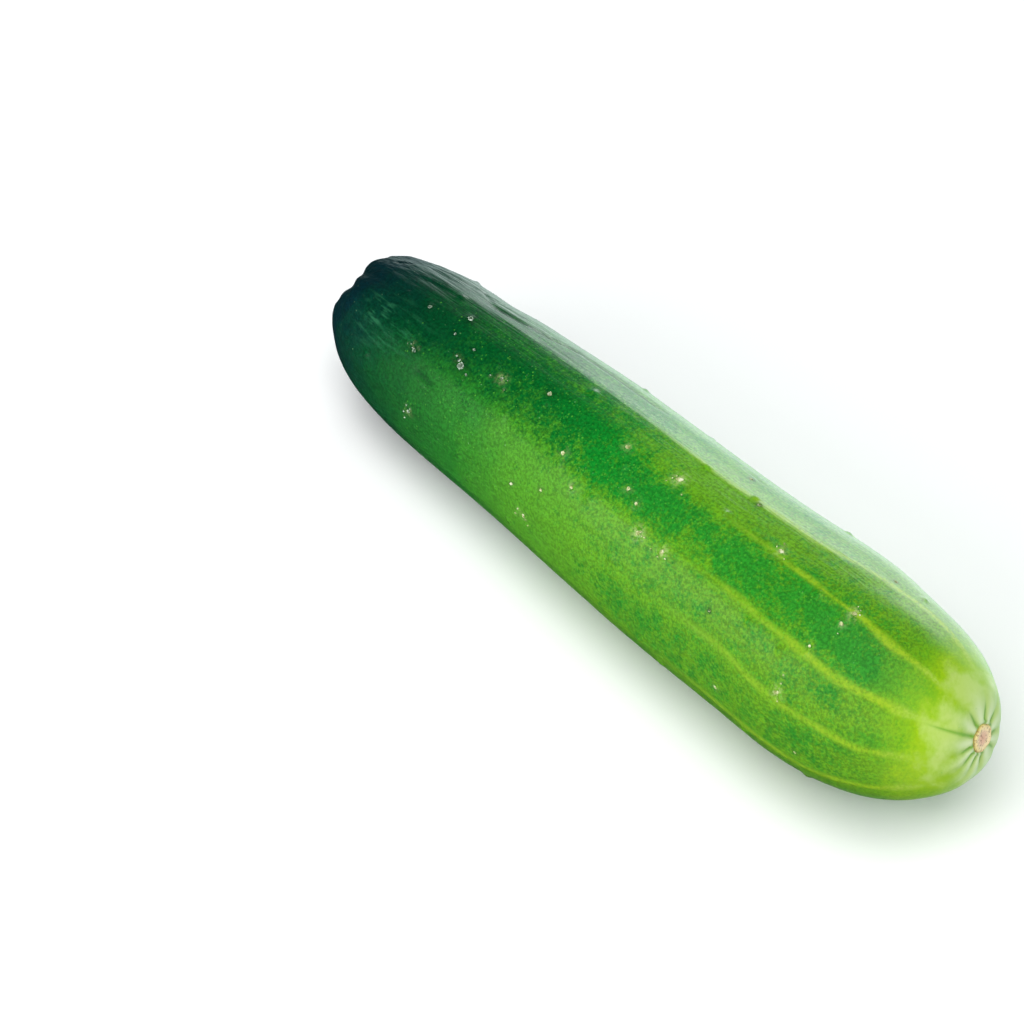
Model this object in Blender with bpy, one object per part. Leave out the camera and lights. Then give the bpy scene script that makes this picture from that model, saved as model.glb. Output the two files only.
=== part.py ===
"""A whole cucumber, as picked, lying on its side.

The fruit grew as one piece, so it is one object: skin, flesh, the corky blossom scar on its pale end and
the cut stem scar on its dark end. It is modelled straight along +X, from the stem scar to the blossom scar,
and then bent, laid down and flattened a little where it rests. Angles round the fruit are measured from its
top, +Z, towards -Y.
"""

import math
import random

import bmesh
import bpy
from mathutils import Matrix, Vector

MM = 0.001
FRUIT = "cucumber"
SEED = 12

# The plain outline
LENGTH = 180 * MM
BELLY_RADIUS = 22.0 * MM
SHOULDER_RADIUS = 18.4 * MM
BELLY_AT = 174 * MM
STEM_CAP = 52 * MM
STEM_CAP_POWER = 2.9
BLOSSOM_CAP = 43.5 * MM
BLOSSOM_CAP_POWER = 2.25

# The girth swells and narrows a little along the fruit, out of step on its two sides and not underneath
WAVE_HEIGHT = 0.35 * MM
WAVE_LENGTH = 78 * MM
WAVE_AT = 85 * MM
WAVE_SHIFT = 12 * MM
WAVE_SIDE = math.radians(-58)
WAVE_FREE_ANGLE = math.radians(40)

# The middle line is straight but for its two ends, which lean up and to +Y, the stem end only a little
STEM_LEAN_LENGTH = 30 * MM
STEM_LEAN = (0.9 * MM, 0.7 * MM)
BLOSSOM_LEAN_LENGTH = 39 * MM
BLOSSOM_LEAN = (3.4 * MM, 5.4 * MM)

# Where it rests
BALANCE_AT = 97 * MM
FLAT_DEPTH = 0.65 * MM

# The wave and the ribs fade in from the stem scar and out before the blossom scar
RELIEF_IN = 25 * MM
RELIEF_OUT = (26 * MM, 4 * MM)

# Ribs run from end to end. Each has an angle on the body and another where it meets the blossom scar.
RIB_ANGLES = (
    (-14, -35),
    (8, 10),
    (40, 47),
    (72, 84),
    (102, 111),
    (142, 137),
    (182, 165),
    (223, 213),
    (264, 247),
    (305, 288),
)
RIB_TURNS_FROM = 128 * MM
RIB_HEIGHT = 0.2 * MM
RIB_WIDTH = math.radians(6)

# A crease at the end of each rib, and the pucker of the skin round the blossom scar
CREASE_DEPTH = 0.5 * MM
CREASE_WIDTH = math.radians(7.5)
CREASE_LENGTH = 4.5 * MM
PUCKER_HEIGHT = 0.5 * MM
PUCKER_REACH = 4.5 * MM

# Furrows between the lobes round the stem scar, as an angle and a share of the depth
FURROWS = ((-24, 0.45), (14, 0.75), (62, 0.3), (118, 0.4), (178, 0.8), (238, 0.6), (290, 0.7))
FURROW_DEPTH = 1.3 * MM
FURROW_WIDTH = math.radians(9)
FURROW_LENGTH = 20 * MM
FURROW_FADE_POWER = 1.4
FURROW_AT_SCAR = 0.3
FURROW_OPENS = 3.5 * MM

# Lobes and hollows, which differ from fruit to fruit: an angle and its reach in degrees, a place along the
# skin and its reach in mm, and the height in mm, which is below 0 for a hollow
LOBES = (
    (75, 16, 5, 5, 0.3),
    (36, 13, 5, 5, -1.25),
    (-12, 14, 6, 5, 0.45),
    (-38, 16, 6, 5, 0.85),
    (-52, 25, 18, 7, -0.2),
    (-54, 30, 38, 7, -0.6),
    (-60, 35, 159, 8, -0.4),
    (-70, 30, 177, 7, 0.25),
    (150, 18, 6, 5, 0.5),
    (205, 15, 6, 5, -0.8),
    (250, 18, 7, 6, 0.5),
)
LOBES_OPEN = 2 * MM

# Scars: a flat pad that the cut stem leaves in a dimple, and a corky disc, dished inside its rim. The shapes
# are shares of the radius and of the height, from the middle out.
STEM_SCAR_RADIUS = 3.8 * MM
STEM_SCAR_HEIGHT = 0.5 * MM
STEM_SCAR_SHAPE = ((0.45, 0.85), (0.86, 1.0), (1.04, 0.0))
STEM_DIMPLE_DEPTH = 1.9 * MM
STEM_DIMPLE_RADIUS = 10 * MM
BLOSSOM_SCAR_RADIUS = 2.7 * MM
BLOSSOM_SCAR_HEIGHT = 0.45 * MM
BLOSSOM_SCAR_SHAPE = ((0.3, 0.2), (0.6, 0.5), (0.86, 1.0), (1.04, 0.0))
SCAR_MARGIN = 1.22
SCAR_SINK = 0.12 * MM

# Bumps that the spines leave: a few strong ones, as a place in mm and an angle, and then a loose row beside
# each rib
STRONG_BUMPS = (
    (29, 12),
    (38, 1),
    (46, 30),
    (80, 35),
    (100, 32),
    (105, 43),
    (112, 44),
    (152, 17),
    (151, 38),
)
BUMPS_PER_RIB = 6
BUMP_SPREAD = math.radians(12)
BUMP_SIDES = 7
BUMP_RADIUS = (0.75 * MM, 1.1 * MM)
BUMP_TOP = 0.4
BUMP_RISE = 0.38 * MM
BUMP_ROOT = 0.9 * MM
BUMPS_FROM = 20 * MM
BUMPS_TO = 160 * MM
BUMP_FREE_ANGLE = math.radians(35)

# The grid
SEGMENTS = 72
STEM_RINGS = 15
BODY_RINGS = 17
BLOSSOM_RINGS = 15

SKIN_COLOUR = (0.063, 0.283, 0.022, 1.0)
SKIN_ROUGHNESS = 0.36


def clear_scene():
    for obj in list(bpy.data.objects):
        bpy.data.objects.remove(obj, do_unlink=True)


def eased(share):
    """0 below 0, 1 above 1, and a smooth step between."""
    share = min(max(share, 0.0), 1.0)
    return share * share * (3 - 2 * share)


def hump(angle, centre, width):
    """A smooth hump, 1 high, round a centre angle."""
    away = math.remainder(angle - centre, math.tau)
    return math.exp(-((away / width) ** 2))


def swell(x):
    """The radius before the ends round off: it grows from the shoulder to the belly."""
    return SHOULDER_RADIUS + (BELLY_RADIUS - SHOULDER_RADIUS) * eased(x / BELLY_AT)


def rounding(from_tip, cap, power):
    """The share of the radius that is left near an end that rounds off over the cap's length."""
    return (1 - max(1 - from_tip / cap, 0) ** power) ** (1 / power)


def plain_radius(x):
    stem = rounding(x, STEM_CAP, STEM_CAP_POWER)
    blossom = rounding(LENGTH - x, BLOSSOM_CAP, BLOSSOM_CAP_POWER)
    return swell(x) * stem * blossom


def cap_stations(cap, power, rings, scar_share):
    """Distances from a tip for rings that turn evenly from the scar's edge to where the rounding ends."""
    first = math.asin(scar_share ** (power / 2))
    turns = (first + (math.pi / 2 - first) * i / rings for i in range(rings))
    return [cap * (1 - math.cos(turn) ** (2 / power)) for turn in turns]


def scar_outline(edge, out, radius, height, shape):
    """A scar's half outline from its middle to its foot, as (x, radius) pairs. The way out is 1 or -1."""
    foot = edge - out * SCAR_SINK
    return [(foot + out * height * rise, radius * share) for share, rise in shape]


def flesh_outline():
    """The fruit's half outline between the scars, as (x, radius) pairs."""
    stem_share = SCAR_MARGIN * STEM_SCAR_RADIUS / SHOULDER_RADIUS
    stem = cap_stations(STEM_CAP, STEM_CAP_POWER, STEM_RINGS, stem_share)
    blossom_share = SCAR_MARGIN * BLOSSOM_SCAR_RADIUS / BELLY_RADIUS
    blossom = cap_stations(BLOSSOM_CAP, BLOSSOM_CAP_POWER, BLOSSOM_RINGS, blossom_share)
    body_length = LENGTH - STEM_CAP - BLOSSOM_CAP
    body = [STEM_CAP + body_length * i / BODY_RINGS for i in range(BODY_RINGS + 1)]
    points = []
    for x in stem + body + [LENGTH - x for x in reversed(blossom)]:
        radius = plain_radius(x)
        dimple = STEM_DIMPLE_DEPTH * eased(1 - radius / STEM_DIMPLE_RADIUS) if x < STEM_CAP else 0
        points.append((x + dimple, radius))
    return points


def rib_angle(rib, x):
    """A rib's angle at a place along the fruit: it turns towards its place at the blossom scar."""
    on_body, at_scar = RIB_ANGLES[rib]
    turned = eased((x - RIB_TURNS_FROM) / (LENGTH - RIB_TURNS_FROM))
    return math.radians(on_body + (at_scar - on_body) * turned)


def wave(x, angle):
    """How far the girth stands above or below the plain outline."""
    crest = WAVE_AT - WAVE_SHIFT * math.cos(angle - WAVE_SIDE)
    above = 1 - hump(angle, math.pi, WAVE_FREE_ANGLE)
    return WAVE_HEIGHT * above * math.cos(math.tau * (x - crest) / WAVE_LENGTH)


def lobes(angle, from_stem):
    """The height of all the lobes and hollows at a place. They open a little way out from the stem scar."""
    height = 0.0
    for centre, width, at, length, rise in LOBES:
        share = hump(angle, math.radians(centre), math.radians(width))
        height += rise * MM * share * math.exp(-(((from_stem / MM - at) / length) ** 2))
    return height * eased(from_stem / LOBES_OPEN)


def relief(x, angle, from_stem, from_blossom):
    """How far the skin stands above the plain outline, given the distances along it from each scar's edge."""
    ribs = sum(hump(angle, rib_angle(rib, x), RIB_WIDTH) for rib in range(len(RIB_ANGLES)))
    creases = sum(hump(angle, rib_angle(rib, x), CREASE_WIDTH) for rib in range(len(RIB_ANGLES)))
    fading, gone = RELIEF_OUT
    on_body = eased(from_stem / RELIEF_IN) * eased((from_blossom - gone) / (fading - gone))
    height = (RIB_HEIGHT * ribs + wave(x, angle)) * on_body + lobes(angle, from_stem)
    height -= CREASE_DEPTH * creases * math.exp(-from_blossom / CREASE_LENGTH)
    bulge = from_blossom / PUCKER_REACH
    height += PUCKER_HEIGHT * bulge * math.exp(1 - bulge) * eased(bulge)
    opened = FURROW_AT_SCAR + (1 - FURROW_AT_SCAR) * eased(from_stem / FURROW_OPENS)
    depth = FURROW_DEPTH * opened * math.exp(-((from_stem / FURROW_LENGTH) ** FURROW_FADE_POWER))
    for furrow, share in FURROWS:
        height -= share * depth * hump(angle, math.radians(furrow), FURROW_WIDTH)
    return height


def distances(points):
    """How far along the outline each point is from the first."""
    along = [0.0]
    for (x0, r0), (x1, r1) in zip(points, points[1:]):
        along.append(along[-1] + math.hypot(x1 - x0, r1 - r0))
    return along


def outward(points, i):
    """The outline's outward normal at one point, as (x, radius) parts."""
    x0, r0 = points[max(i - 1, 0)]
    x1, r1 = points[min(i + 1, len(points) - 1)]
    size = math.hypot(x1 - x0, r1 - r0)
    return (r0 - r1) / size, (x1 - x0) / size


def around(x, radius, angle):
    """A point of the straight fruit."""
    return Vector((x, -radius * math.sin(angle), radius * math.cos(angle)))


def ring_angles():
    return [math.tau * k / SEGMENTS for k in range(SEGMENTS)]


def flesh_rings(points):
    """Rings of points on the skin, each moved out along the outline's normal by the relief."""
    along = distances(points)
    for i, (x, radius) in enumerate(points):
        nx, nr = outward(points, i)
        lifts = [(angle, relief(x, angle, along[i], along[-1] - along[i])) for angle in ring_angles()]
        yield [around(x + lift * nx, radius + lift * nr, angle) for angle, lift in lifts]


def plain_rings(points):
    for x, radius in points:
        yield [around(x, radius, angle) for angle in ring_angles()]


def add_skin(bm):
    """Rings from the stem scar's middle to the blossom scar's, bridged into one closed skin."""
    flesh = flesh_outline()
    pad = scar_outline(flesh[0][0], -1, STEM_SCAR_RADIUS, STEM_SCAR_HEIGHT, STEM_SCAR_SHAPE)
    disc = scar_outline(flesh[-1][0], 1, BLOSSOM_SCAR_RADIUS, BLOSSOM_SCAR_HEIGHT, BLOSSOM_SCAR_SHAPE)
    disc.reverse()
    rings = [
        [bm.verts.new(place) for place in ring]
        for ring in (*plain_rings(pad), *flesh_rings(flesh), *plain_rings(disc))
    ]
    for ring, following in zip(rings, rings[1:]):
        for k in range(SEGMENTS):
            after = (k + 1) % SEGMENTS
            bm.faces.new((ring[k], ring[after], following[after], following[k]))
    stem_pole = bm.verts.new((pad[0][0], 0, 0))
    blossom_pole = bm.verts.new((disc[-1][0], 0, 0))
    for k in range(SEGMENTS):
        after = (k + 1) % SEGMENTS
        bm.faces.new((stem_pole, rings[0][after], rings[0][k]))
        bm.faces.new((blossom_pole, rings[-1][k], rings[-1][after]))
    bmesh.ops.recalc_face_normals(bm, faces=bm.faces)


def mesh_object(name, bm, collection):
    mesh = bpy.data.meshes.new(name)
    bm.to_mesh(mesh)
    bm.free()
    obj = bpy.data.objects.new(name, mesh)
    collection.objects.link(obj)
    return obj


def bump_places():
    """Where the spines grew, as (x, angle, radius): the strong ones, then the rows, with none underneath."""
    for x, angle in STRONG_BUMPS:
        yield x * MM, math.radians(angle), BUMP_RADIUS[1]
    draw = random.Random(SEED)
    spacing = (BUMPS_TO - BUMPS_FROM) / BUMPS_PER_RIB
    for rib in range(len(RIB_ANGLES)):
        for i in range(BUMPS_PER_RIB):
            x = BUMPS_FROM + spacing * (i + draw.random())
            angle = rib_angle(rib, x) + draw.uniform(-BUMP_SPREAD, BUMP_SPREAD)
            radius = draw.uniform(*BUMP_RADIUS)
            if abs(math.remainder(angle - math.pi, math.tau)) > BUMP_FREE_ANGLE:
                yield x, angle, radius


def add_bumps(collection):
    """One low blunt cone for each spine, its root sunk in the flesh."""
    for i, (x, angle, radius) in enumerate(bump_places()):
        bm = bmesh.new()
        bmesh.ops.create_cone(
            bm,
            cap_ends=True,
            segments=BUMP_SIDES,
            radius1=radius,
            radius2=BUMP_TOP * radius,
            depth=BUMP_ROOT + BUMP_RISE,
        )
        surface = plain_radius(x) + relief(x, angle, x, LENGTH - x)
        middle = surface + (BUMP_RISE - BUMP_ROOT) / 2
        place = Matrix.Translation(around(x, middle, angle)) @ Matrix.Rotation(angle, 4, "X")
        bmesh.ops.transform(bm, matrix=place, verts=bm.verts)
        mesh_object(f"bump_{i:02d}", bm, collection)


def join_bumps(fruit, collection):
    """Unites the bumps with the skin, applies that, and removes them."""
    union = fruit.modifiers.new("bumps", "BOOLEAN")
    union.operation = "UNION"
    union.operand_type = "COLLECTION"
    union.collection = collection
    graph = bpy.context.evaluated_depsgraph_get()
    joined = bpy.data.meshes.new_from_object(fruit.evaluated_get(graph))
    fruit.modifiers.clear()
    fruit.data = joined
    for bump in list(collection.objects):
        bpy.data.objects.remove(bump, do_unlink=True)
    bpy.data.collections.remove(collection)


def middle_line(x):
    """The bent middle line, whose lean grows with the square of the distance into each end."""
    stem = max(1 - x / STEM_LEAN_LENGTH, 0) ** 2
    blossom = max(1 - (LENGTH - x) / BLOSSOM_LEAN_LENGTH, 0) ** 2
    sideways, up = (stem * s + blossom * b for s, b in zip(STEM_LEAN, BLOSSOM_LEAN))
    return Vector((x, sideways, up))


def bent(point):
    """A point of the straight fruit, carried to the bent middle line and square to it."""
    step = 0.5 * MM
    x = point.x
    tangent = (middle_line(x + step) - middle_line(x - step)).normalized()
    side = Vector((0, 0, 1)).cross(tangent).normalized()
    return middle_line(x) + point.y * side + point.z * tangent.cross(side)


def laid_down():
    """Tips the fruit until its underside is level beneath its weight."""
    step = 1 * MM
    slope = (plain_radius(BALANCE_AT + step) - plain_radius(BALANCE_AT - step)) / (2 * step)
    return Matrix.Rotation(-math.atan(slope), 4, "Y")


def cut_flat(bm, height):
    """Planes off what lies below a height and closes the cut with one flat face."""
    geometry = bm.verts[:] + bm.edges[:] + bm.faces[:]
    cut = bmesh.ops.bisect_plane(
        bm, geom=geometry, dist=1e-7, plane_co=(0, 0, height), plane_no=(0, 0, -1), clear_outer=True
    )
    rim = [item for item in cut["geom_cut"] if isinstance(item, bmesh.types.BMEdge)]
    bmesh.ops.contextual_create(bm, geom=rim)


def settle(fruit):
    """Bends the fruit, lays it down, flattens its resting spot and puts the origin under its middle."""
    bm = bmesh.new()
    bm.from_mesh(fruit.data)
    for vert in bm.verts:
        vert.co = bent(vert.co)
    bmesh.ops.transform(bm, matrix=laid_down(), verts=bm.verts)
    floor = min(vert.co.z for vert in bm.verts) + FLAT_DEPTH
    cut_flat(bm, floor)
    lows = Vector(min(vert.co[axis] for vert in bm.verts) for axis in range(3))
    highs = Vector(max(vert.co[axis] for vert in bm.verts) for axis in range(3))
    middle = (lows + highs) / 2
    bmesh.ops.translate(bm, vec=(-middle.x, -middle.y, -floor), verts=bm.verts)
    bm.to_mesh(fruit.data)
    bm.free()


def skin_material():
    material = bpy.data.materials.new("cucumber_skin")
    material.use_nodes = True
    shader = material.node_tree.nodes["Principled BSDF"]
    shader.inputs["Base Color"].default_value = SKIN_COLOUR
    shader.inputs["Roughness"].default_value = SKIN_ROUGHNESS
    shader.inputs["Metallic"].default_value = 0.0
    return material


def build():
    clear_scene()
    scene_collection = bpy.context.scene.collection
    skin = bmesh.new()
    add_skin(skin)
    fruit = mesh_object(FRUIT, skin, scene_collection)
    bumps = bpy.data.collections.new("bumps")
    scene_collection.children.link(bumps)
    add_bumps(bumps)
    join_bumps(fruit, bumps)
    settle(fruit)
    fruit.data.shade_smooth()
    fruit.data.set_sharp_from_angle(angle=math.radians(40))
    fruit.data.materials.clear()
    fruit.data.materials.append(skin_material())


build()
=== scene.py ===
# %% [markdown]
# A whole cucumber, lying on its side
#
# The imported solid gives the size, the bend and the place on the floor. This script dresses it: a finer skin,
# the two scars at its ends, the scabs where spines grew, and the materials, light and camera. Run the cells
# from top to bottom.

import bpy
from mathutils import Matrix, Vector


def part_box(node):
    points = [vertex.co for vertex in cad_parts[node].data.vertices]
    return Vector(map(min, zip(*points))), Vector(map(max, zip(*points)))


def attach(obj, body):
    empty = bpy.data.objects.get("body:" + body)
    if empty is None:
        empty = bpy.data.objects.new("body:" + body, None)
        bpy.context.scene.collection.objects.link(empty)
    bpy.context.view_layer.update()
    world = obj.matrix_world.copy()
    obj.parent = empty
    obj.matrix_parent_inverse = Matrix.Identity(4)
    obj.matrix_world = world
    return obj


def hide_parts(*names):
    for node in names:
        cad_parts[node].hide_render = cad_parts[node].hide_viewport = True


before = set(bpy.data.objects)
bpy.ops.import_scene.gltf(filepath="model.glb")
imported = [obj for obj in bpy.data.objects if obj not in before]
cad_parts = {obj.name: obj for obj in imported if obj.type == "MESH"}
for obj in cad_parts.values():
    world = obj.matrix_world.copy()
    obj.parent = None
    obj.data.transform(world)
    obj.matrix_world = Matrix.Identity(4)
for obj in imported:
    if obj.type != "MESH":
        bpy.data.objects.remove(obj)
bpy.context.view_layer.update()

# %% Libraries and units
import math
import random

import bmesh
import bpy
import numpy as np
from mathutils import Matrix, Vector, noise

MM = 0.001
SEED = 12

# %% [markdown]
# The outline
#
# A cucumber is close to a turned shape: one half outline, carried round its long axis. The thick end is the
# blossom end. Each end rounds off by its own power curve, squarer at the stem. The values are those of the
# solid, so that the skin lies where the solid does. Angles are measured from the top towards -Y.

# %% Values of the outline
LENGTH = 180 * MM
BELLY_RADIUS = 22.0 * MM
SHOULDER_RADIUS = 18.4 * MM
BELLY_AT = 174 * MM
STEM_CAP = 52 * MM
STEM_CAP_POWER = 2.9
BLOSSOM_CAP = 43.5 * MM
BLOSSOM_CAP_POWER = 2.25
STEM_DIMPLE_DEPTH = 1.9 * MM
STEM_DIMPLE_RADIUS = 10 * MM
STEM_SCAR_RADIUS = 3.8 * MM
STEM_RIM = 0.38 * MM
BLOSSOM_SCAR_RADIUS = 2.7 * MM
BLOSSOM_RIM = 0.33 * MM
RIM_AT = 0.86
SCAR_MARGIN = 1.22


# %% Two curves that the shape is built from
def eased(share):
    """0 below 0, 1 above 1, and a smooth step between."""
    share = np.clip(share, 0.0, 1.0)
    return share * share * (3 - 2 * share)


def turned_from(angle, centre):
    """The signed angle from a centre, between minus and plus half a turn."""
    return (angle - centre + math.pi) % math.tau - math.pi


def hump(angle, centre, width):
    """A smooth hump, 1 high, round a centre angle."""
    return np.exp(-((turned_from(angle, centre) / width) ** 2))


# %% The radius along the fruit
def rounding(from_tip, cap, power):
    """The share of the radius that is left near an end that rounds off over the cap's length."""
    return (1 - np.clip(1 - from_tip / cap, 0, 1) ** power) ** (1 / power)


def plain_radius(x):
    swell = SHOULDER_RADIUS + (BELLY_RADIUS - SHOULDER_RADIUS) * eased(x / BELLY_AT)
    stem = rounding(x, STEM_CAP, STEM_CAP_POWER)
    blossom = rounding(LENGTH - x, BLOSSOM_CAP, BLOSSOM_CAP_POWER)
    return swell * stem * blossom


# %% Rings along the outline, close together where it turns
STEM_RINGS = 84
BODY_RINGS = 124
BLOSSOM_RINGS = 92


def cap_stations(cap, power, rings, scar_share):
    """Distances from a tip for rings that turn evenly from the scar's edge to where the rounding ends."""
    first = math.asin(scar_share ** (power / 2))
    turns = np.linspace(first, math.pi / 2, rings, endpoint=False)
    return cap * (1 - np.cos(turns) ** (2 / power))


def half_outline():
    """Stations of the rings, and the (x, radius) of each, from one scar's edge to the other's."""
    stem_share = SCAR_MARGIN * STEM_SCAR_RADIUS / SHOULDER_RADIUS
    blossom_share = SCAR_MARGIN * BLOSSOM_SCAR_RADIUS / BELLY_RADIUS
    stem = cap_stations(STEM_CAP, STEM_CAP_POWER, STEM_RINGS, stem_share)
    blossom = cap_stations(BLOSSOM_CAP, BLOSSOM_CAP_POWER, BLOSSOM_RINGS, blossom_share)
    body = np.linspace(STEM_CAP, LENGTH - BLOSSOM_CAP, BODY_RINGS)
    stations = np.concatenate((stem, body, LENGTH - blossom[::-1]))
    radius = plain_radius(stations)
    in_dimple = np.where(stations < STEM_CAP, eased(1 - radius / STEM_DIMPLE_RADIUS), 0)
    return stations, stations + STEM_DIMPLE_DEPTH * in_dimple, radius


STATION, OUTLINE_X, OUTLINE_R = half_outline()
steps = np.hypot(np.diff(OUTLINE_X), np.diff(OUTLINE_R))
ALONG = np.concatenate(([0.0], np.cumsum(steps)))
SKIN_LENGTH = ALONG[-1]
slope_x = np.gradient(OUTLINE_X)
slope_r = np.gradient(OUTLINE_R)
slope = np.hypot(slope_x, slope_r)
NORMAL_X = -slope_r / slope
NORMAL_R = slope_x / slope
print(f"{len(ALONG)} rings, at most {steps.max() / MM:.2f} mm apart, {SKIN_LENGTH / MM:.1f} mm along the skin")

# %% [markdown]
# The relief
#
# Ten low ribs run from end to end and close in as creases round the blossom scar, where the flower pulled the
# skin together. The stem end has furrows between lobes, and the lobes differ from fruit to fruit, so they are
# a short list. All of it could be sculpted by hand, but formulas from named values keep it the same on each
# run, and equal to the solid's.

# %% Values of the ribs, creases and furrows
RIB_ANGLES = (
    (-14, -35),
    (8, 10),
    (40, 47),
    (72, 84),
    (102, 111),
    (142, 137),
    (182, 165),
    (223, 213),
    (264, 247),
    (305, 288),
)
RIB_TURNS_FROM = 128 * MM
RIB_HEIGHT = 0.2 * MM
RIB_WIDTH = math.radians(6)
RELIEF_IN = 25 * MM
RELIEF_OUT = (26 * MM, 4 * MM)
CREASE_DEPTH = 0.5 * MM
CREASE_WIDTH = math.radians(7.5)
CREASE_LENGTH = 4.5 * MM
PUCKER_HEIGHT = 0.5 * MM
PUCKER_REACH = 4.5 * MM
FURROWS = ((-24, 0.45), (14, 0.75), (62, 0.3), (118, 0.4), (178, 0.8), (238, 0.6), (290, 0.7))
FURROW_DEPTH = 1.3 * MM
FURROW_WIDTH = math.radians(9)
FURROW_LENGTH = 20 * MM
FURROW_FADE_POWER = 1.4
FURROW_AT_SCAR = 0.3
FURROW_OPENS = 3.5 * MM
WAVE_HEIGHT = 0.35 * MM
WAVE_LENGTH = 78 * MM
WAVE_AT = 85 * MM
WAVE_SHIFT = 12 * MM
WAVE_SIDE = math.radians(-58)
WAVE_FREE_ANGLE = math.radians(40)
# Each lobe: an angle and its reach in degrees, a place along the skin and its reach in mm, a height in mm
LOBES = (
    (75, 16, 5, 5, 0.3),
    (36, 13, 5, 5, -1.25),
    (-12, 14, 6, 5, 0.45),
    (-38, 16, 6, 5, 0.85),
    (-52, 25, 18, 7, -0.2),
    (-54, 30, 38, 7, -0.6),
    (-60, 35, 159, 8, -0.4),
    (-70, 30, 177, 7, 0.25),
    (150, 18, 6, 5, 0.5),
    (205, 15, 6, 5, -0.8),
    (250, 18, 7, 6, 0.5),
)
LOBES_OPEN = 2 * MM


# %% The relief as one height above the outline
def rib_angle(rib, x):
    """A rib's angle at a place along the fruit: it turns towards its place at the blossom scar."""
    on_body, at_scar = RIB_ANGLES[rib]
    share = eased((x - RIB_TURNS_FROM) / (LENGTH - RIB_TURNS_FROM))
    return np.radians(on_body + (at_scar - on_body) * share)


def wave(x, angle):
    """The girth swells and narrows a little along the fruit, out of step on its two sides."""
    crest = WAVE_AT - WAVE_SHIFT * np.cos(angle - WAVE_SIDE)
    above = 1 - hump(angle, math.pi, WAVE_FREE_ANGLE)
    return WAVE_HEIGHT * above * np.cos(math.tau * (x - crest) / WAVE_LENGTH)


def creases(x, angle, from_blossom):
    """How deep each place lies in a crease of the blossom end, from 0 to 1."""
    near = sum(hump(angle, rib_angle(rib, x), CREASE_WIDTH) for rib in range(len(RIB_ANGLES)))
    return near * np.exp(-from_blossom / CREASE_LENGTH)


def furrows(angle, from_stem):
    """How deep each place lies in a furrow of the stem end, in shares of the full depth."""
    opened = FURROW_AT_SCAR + (1 - FURROW_AT_SCAR) * eased(from_stem / FURROW_OPENS)
    depth = opened * np.exp(-((from_stem / FURROW_LENGTH) ** FURROW_FADE_POWER))
    return sum(share * depth * hump(angle, math.radians(at), FURROW_WIDTH) for at, share in FURROWS)


def lobes(angle, from_stem):
    """The height of the lobes and hollows that differ from fruit to fruit."""
    height = 0.0
    for centre, width, at, length, rise in LOBES:
        share = hump(angle, math.radians(centre), math.radians(width))
        height = height + rise * MM * share * np.exp(-(((from_stem / MM - at) / length) ** 2))
    return height * eased(from_stem / LOBES_OPEN)


def relief(x, angle, along):
    from_blossom = np.clip(SKIN_LENGTH - along, 0, None)
    from_stem = np.clip(along, 0, None)
    ribs = sum(hump(angle, rib_angle(rib, x), RIB_WIDTH) for rib in range(len(RIB_ANGLES)))
    fading, gone = RELIEF_OUT
    on_body = eased(from_stem / RELIEF_IN) * eased((from_blossom - gone) / (fading - gone))
    bulge = from_blossom / PUCKER_REACH
    height = (RIB_HEIGHT * ribs + wave(x, angle)) * on_body + lobes(angle, from_stem)
    height = height + PUCKER_HEIGHT * bulge * np.exp(1 - bulge) * eased(bulge)
    height = height - CREASE_DEPTH * creases(x, angle, from_blossom)
    return height - FURROW_DEPTH * furrows(angle, from_stem)


# %% [markdown]
# The bend and the rest
#
# The fruit is worked out straight, because rings and angles are simple there. One function then carries
# any point of the straight fruit to the bent one: both ends lean a little, the whole is tipped until its
# underside is level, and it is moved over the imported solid. Every piece goes through that same function.

# %% Values of the bend
STEM_LEAN_LENGTH = 30 * MM
STEM_LEAN = (0.9 * MM, 0.7 * MM)
BLOSSOM_LEAN_LENGTH = 39 * MM
BLOSSOM_LEAN = (3.4 * MM, 5.4 * MM)
BALANCE_AT = 97 * MM
FLAT_DEPTH = 0.65 * MM


# %% From the straight fruit to the bent one
def middle_line(x):
    stem = np.clip(1 - x / STEM_LEAN_LENGTH, 0, None) ** 2
    blossom = np.clip(1 - (LENGTH - x) / BLOSSOM_LEAN_LENGTH, 0, None) ** 2
    sideways = stem * STEM_LEAN[0] + blossom * BLOSSOM_LEAN[0]
    up = stem * STEM_LEAN[1] + blossom * BLOSSOM_LEAN[1]
    return np.stack((x, sideways, up), axis=-1)


def bent(points):
    """Points of the straight fruit, carried to the bent middle line and square to it."""
    x = points[:, 0]
    tangent = middle_line(x + 0.5 * MM) - middle_line(x - 0.5 * MM)
    tangent /= np.linalg.norm(tangent, axis=1, keepdims=True)
    side = np.cross((0.0, 0.0, 1.0), tangent)
    side /= np.linalg.norm(side, axis=1, keepdims=True)
    return middle_line(x) + points[:, 1:2] * side + points[:, 2:3] * np.cross(tangent, side)


def laid_down(points):
    """Tips points about Y until the underside is level beneath the fruit's weight."""
    slope = (plain_radius(BALANCE_AT + MM) - plain_radius(BALANCE_AT - MM)) / (2 * MM)
    turn = Matrix.Rotation(-math.atan(slope), 3, "Y")
    return points @ np.array(turn).T


# %% A point on the straight skin
def on_outline(along, angle, lift):
    """Points at a distance along the skin and an angle, lifted off the outline square to it."""
    x = np.interp(along, ALONG, OUTLINE_X) + lift * np.interp(along, ALONG, NORMAL_X)
    radius = np.interp(along, ALONG, OUTLINE_R) + lift * np.interp(along, ALONG, NORMAL_R)
    return np.stack((x, -radius * np.sin(angle), radius * np.cos(angle)), axis=-1)


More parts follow.
